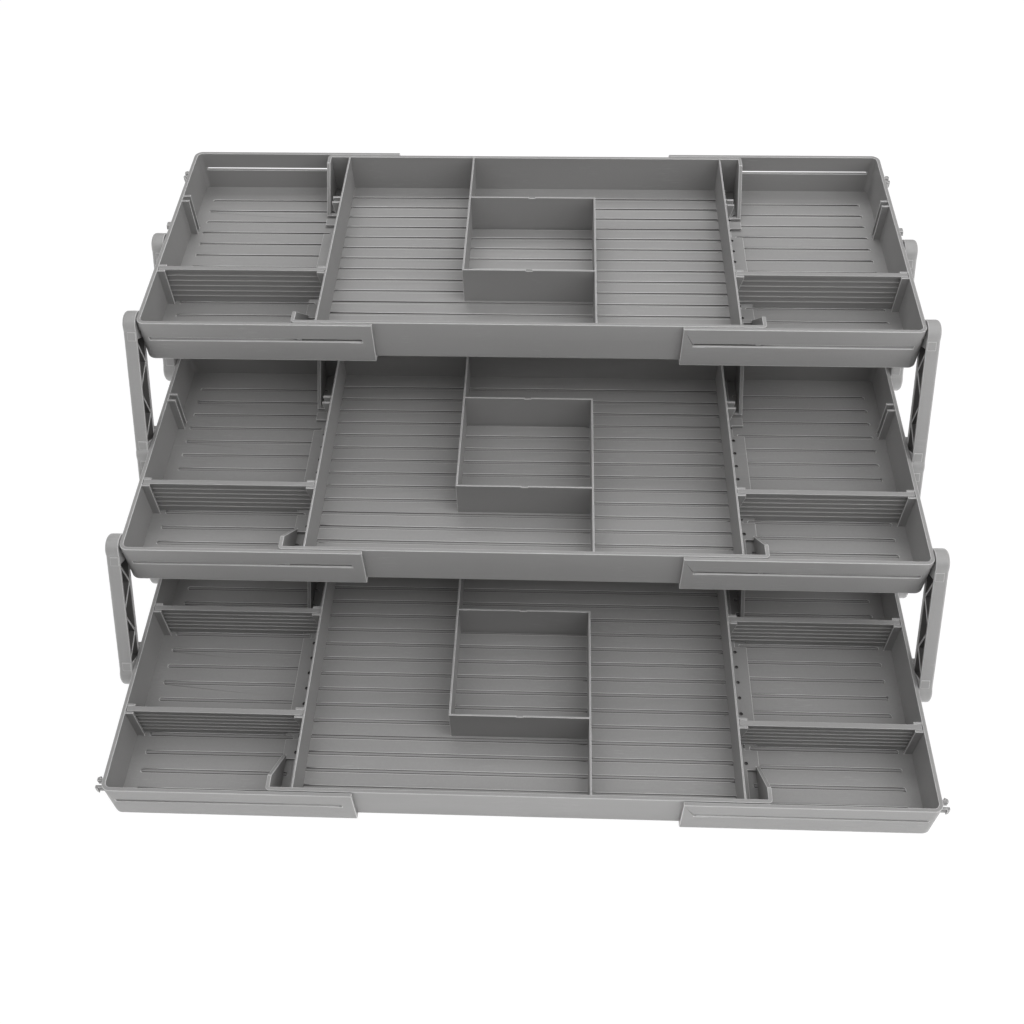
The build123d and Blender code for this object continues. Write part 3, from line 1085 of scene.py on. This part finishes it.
SOFTBOXES = (
    Softbox("front_softbox", place=(0.0, -1.1, 1.4), size=(1.6, 0.9), power=1.7),
    Softbox("rear_softbox", place=(0.0, 1.1, 1.6), size=(1.6, 0.9), power=13.0),
    Softbox("high_right_softbox", place=(0.75, -0.3, 1.5), size=(1.5, 1.2), power=8.7),
    Softbox("high_left_softbox", place=(-0.75, -0.3, 1.5), size=(1.5, 1.2), power=6.1),
    Softbox("low_right_softbox", place=(1.4, -0.5, 0.9), size=(1.0, 1.0), power=6.9),
    Softbox("low_left_softbox", place=(-1.4, -0.5, 0.9), size=(1.0, 1.0), power=3.0),
)


@dataclass
class Studio:
    """A white floor between softboxes, and the camera above and in front.

    The object is lit by the floor's bounce and return, while the camera sees its glow, which is
    white, with a share of the object's shadow.
    """

    floor_size: float = 14.0
    floor_bounce: float = 0.95
    floor_return: float = 0.65
    floor_glow: float = 0.96
    shadow_share: float = 0.09
    room_light: float = 0.01
    softboxes: tuple[Softbox, ...] = SOFTBOXES
    camera_place: tuple[float, float, float] = (0.0216, -0.6151, 0.7990)
    camera_yaw: float = math.radians(-3.194)
    camera_pitch: float = math.radians(51.049)
    camera_roll: float = math.radians(-1.496)
    camera_reach: float = 50.0
    focal_pixels: float = 1148.5
    picture_pixels: float = 1024.0
    sensor_width: float = 36.0

    @staticmethod
    def seen_directly(sheet: NodeSheet) -> bpy.types.NodeSocket:
        """1 for what the camera sees, and 0 for light that bounces or is mirrored."""
        path = sheet.add("LightPath")
        return sheet.maths("MAXIMUM", path.outputs["Is Camera Ray"],
                           path.outputs["Is Transmission Ray"])

    @staticmethod
    def glowing_white(sheet: NodeSheet, share: float, glow: float) -> bpy.types.NodeSocket:
        """Adds a matt white that also gives off light.

        Args:
            sheet: The material's sheet.
            share: How much of the light that falls on it goes back.
            glow: How strongly it gives off light.

        Returns:
            The shader.
        """
        both = sheet.add("AddShader")
        matt = sheet.add("BsdfDiffuse", color=(share, share, share, 1.0))
        light = sheet.add("Emission", color=WHITE, strength=glow)
        sheet.join(matt.outputs[0], both.inputs[0])
        sheet.join(light.outputs[0], both.inputs[1])
        return both.outputs[0]

    def choose(self, sheet: NodeSheet, otherwise: bpy.types.NodeSocket,
               direct: bpy.types.NodeSocket) -> bpy.types.NodeSocket:
        """Shows one shader to the camera and another to the object.

        Args:
            sheet: The sheet of a material or the world.
            otherwise: What light that bounces meets.
            direct: What the camera sees.

        Returns:
            The shader of both.
        """
        choice = sheet.add("MixShader")
        sheet.join(self.seen_directly(sheet), choice.inputs[0])
        sheet.join(otherwise, choice.inputs[1])
        sheet.join(direct, choice.inputs[2])
        return choice.outputs[0]

    def lay_floor(self) -> bpy.types.Object:
        """Lays the floor that the organizer stands on.

        Returns:
            The floor.
        """
        MeshBench.clear()
        bpy.ops.mesh.primitive_plane_add(size=self.floor_size, location=(0.0, 0.0, 0.0))
        floor = bpy.context.active_object
        floor.name = "studio_floor"
        material = bpy.data.materials.new("studio_floor")
        material.use_nodes = True
        sheet = NodeSheet(material.node_tree)
        lit = self.glowing_white(sheet, self.floor_bounce, self.floor_return)
        seen = self.glowing_white(sheet, self.shadow_share, self.floor_glow)
        sheet.finish("OutputMaterial", self.choose(sheet, lit, seen))
        floor.data.materials.append(material)
        return floor

    def fill_air(self) -> None:
        """Fills the room with a little light, in front of a white backdrop."""
        world = bpy.data.worlds.new("studio_air")
        world.use_nodes = True
        bpy.context.scene.world = world
        sheet = NodeSheet(world.node_tree)
        fill = sheet.add("Background", color=WHITE, strength=self.room_light)
        backdrop = sheet.add("Background", color=WHITE, strength=1.0)
        sheet.finish("OutputWorld", self.choose(sheet, fill.outputs[0], backdrop.outputs[0]))

    def camera_turn(self) -> Matrix:
        """Works out which way the camera looks.

        Returns:
            Its turn.
        """
        level = math.cos(self.camera_pitch)
        ahead = Vector((math.sin(self.camera_yaw) * level, math.cos(self.camera_yaw) * level,
                        -math.sin(self.camera_pitch)))
        flat_right = Vector((math.cos(self.camera_yaw), -math.sin(self.camera_yaw), 0.0))
        flat_up = flat_right.cross(ahead)
        right = math.cos(self.camera_roll) * flat_right + math.sin(self.camera_roll) * flat_up
        up = math.cos(self.camera_roll) * flat_up - math.sin(self.camera_roll) * flat_right
        return Matrix((right, up, -ahead)).transposed().to_4x4()

    def set_camera(self) -> bpy.types.Object:
        """Sets up the camera above and in front of the organizer.

        Returns:
            The camera.
        """
        lens = bpy.data.cameras.new("studio_camera")
        lens.sensor_fit = "HORIZONTAL"
        lens.sensor_width = self.sensor_width
        lens.lens = self.focal_pixels * self.sensor_width / self.picture_pixels
        lens.clip_end = self.camera_reach
        camera = bpy.data.objects.new("studio_camera", lens)
        camera.matrix_world = Matrix.Translation(self.camera_place) @ self.camera_turn()
        bpy.context.scene.collection.objects.link(camera)
        bpy.context.scene.camera = camera
        return camera

    def build(self) -> None:
        """Sets up the floor, the light and the camera."""
        bpy.context.scene.view_settings.view_transform = "Standard"
        self.lay_floor()
        for softbox in self.softboxes:
            softbox.hang()
        self.fill_air()
        self.set_camera()
        log.info("studio set up")


def main() -> None:
    """Builds the studio and the organizer."""
    logging.basicConfig(level=logging.INFO, format="%(name)s: %(message)s")
    effects = EffectBook()
    materials = {finish.name: finish.build(effects) for finish in FINISHES}
    Studio().build()
    pieces = []
    for tier in Tier:
        places = ("front", "rear") if tier is Tier.BOTTOM else ("front",)
        pieces += TrayTier(tier, places).build(materials)
    for side in Side:
        pieces += ArmSet(side).build(materials)
    for piece in pieces:
        log.info("%s: %d faces", piece.name, len(piece.data.polygons))
    log.info("%d pieces", len(pieces))


if __name__ == "__main__":
    main()
